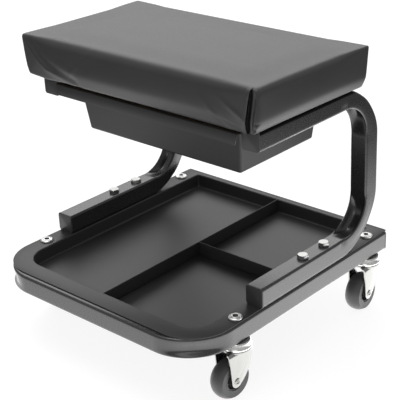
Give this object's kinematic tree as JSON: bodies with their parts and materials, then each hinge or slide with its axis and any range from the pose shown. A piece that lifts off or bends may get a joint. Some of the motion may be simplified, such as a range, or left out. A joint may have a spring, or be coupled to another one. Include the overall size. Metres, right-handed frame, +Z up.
{
  "type": "creeper seat",
  "caption": "Low rolling work seat with a padded top on bent square tube legs, a divided tool tray base, swivel casters and a sliding drawer under the seat.",
  "frame": {"origin": "on the floor, under the middle of the base: halfway across the width and halfway from the front rail to the tray's back lip", "axes": "+X to the right hand side seen from the front, +Y from the front rail to the open back of the base, +Z up from the floor"},
  "size_m": [0.381, 0.38, 0.3826],
  "materials": {
    "black_powder_coat": "satin black powder coat",
    "cap_plastic": "black moulded polyethylene",
    "zinc_hardware": "bright zinc plated steel",
    "zinc_sheet": "zinc plated sheet steel",
    "bright_zinc": "bright zinc plated pressed steel",
    "plywood": "plain birch plywood",
    "black_vinyl": "fine grained black vinyl over foam",
    "wheel_hub": "dark grey moulded polypropylene",
    "wheel_tread": "dark grey rubber tread"
  },
  "bodies": {
    "chassis": {"base_frame": "black_powder_coat", "rail_end_caps": "cap_plastic", "tray": "black_powder_coat", "divider_long": "black_powder_coat", "divider_cross": "black_powder_coat", "leg_left": "black_powder_coat", "leg_right": "black_powder_coat", "leg_end_caps": "cap_plastic", "leg_bolts": "zinc_hardware", "leg_nuts": "zinc_hardware", "seat_board": "plywood", "cushion": "black_vinyl", "seat_bolts": "zinc_hardware", "tee_nuts": "zinc_hardware", "runner_left": "zinc_sheet", "runner_right": "zinc_sheet", "runner_rivets": "zinc_sheet", "caster_bolts": "zinc_hardware", "caster_nuts": "zinc_hardware", "head_fl": "bright_zinc", "head_fr": "bright_zinc", "head_rl": "bright_zinc", "head_rr": "bright_zinc", "kingpin_fl": "bright_zinc", "kingpin_fr": "bright_zinc", "kingpin_rl": "bright_zinc", "kingpin_rr": "bright_zinc"},
    "drawer_box": {"drawer": "black_powder_coat"},
    "swivel_fl": {"fork_fl": "bright_zinc", "axle_fl": "bright_zinc"},
    "wheel_fl": {"hub_fl": "wheel_hub", "tyre_fl": "wheel_tread"},
    "swivel_fr": {"fork_fr": "bright_zinc", "axle_fr": "bright_zinc"},
    "wheel_fr": {"hub_fr": "wheel_hub", "tyre_fr": "wheel_tread"},
    "swivel_rl": {"fork_rl": "bright_zinc", "axle_rl": "bright_zinc"},
    "wheel_rl": {"hub_rl": "wheel_hub", "tyre_rl": "wheel_tread"},
    "swivel_rr": {"fork_rr": "bright_zinc", "axle_rr": "bright_zinc"},
    "wheel_rr": {"hub_rr": "wheel_hub", "tyre_rr": "wheel_tread"}
  },
  "joints": [
    {"name": "drawer_slide", "type": "slide", "parent": "chassis", "child": "drawer_box", "axis": [0, -1, 0], "range_m": [0, 0.12]},
    {"name": "swivel_fl", "type": "hinge", "parent": "chassis", "child": "swivel_fl", "pos_m": [-0.165, -0.106, 0.0645], "axis": [0, 0, 1], "continuous": true},
    {"name": "roll_fl", "type": "hinge", "parent": "swivel_fl", "child": "wheel_fl", "pos_m": [-0.1585, -0.09474, 0.0255], "axis": [-0.866, 0.5, 0], "continuous": true},
    {"name": "swivel_fr", "type": "hinge", "parent": "chassis", "child": "swivel_fr", "pos_m": [0.165, -0.106, 0.0645], "axis": [0, 0, 1], "continuous": true},
    {"name": "roll_fr", "type": "hinge", "parent": "swivel_fr", "child": "wheel_fr", "pos_m": [0.16387, -0.11895, 0.0255], "axis": [0.9962, -0.0872, 0], "continuous": true},
    {"name": "swivel_rl", "type": "hinge", "parent": "chassis", "child": "swivel_rl", "pos_m": [-0.165, 0.1585, 0.0645], "axis": [0, 0, 1], "continuous": true},
    {"name": "roll_rl", "type": "hinge", "parent": "swivel_rl", "child": "wheel_rl", "pos_m": [-0.16945, 0.14628, 0.0255], "axis": [0.9397, -0.342, 0], "continuous": true},
    {"name": "swivel_rr", "type": "hinge", "parent": "chassis", "child": "swivel_rr", "pos_m": [0.165, 0.1585, 0.0645], "axis": [0, 0, 1], "continuous": true},
    {"name": "roll_rr", "type": "hinge", "parent": "swivel_rr", "child": "wheel_rr", "pos_m": [0.16613, 0.14555, 0.0255], "axis": [0.9962, 0.0872, 0], "continuous": true}
  ]
}
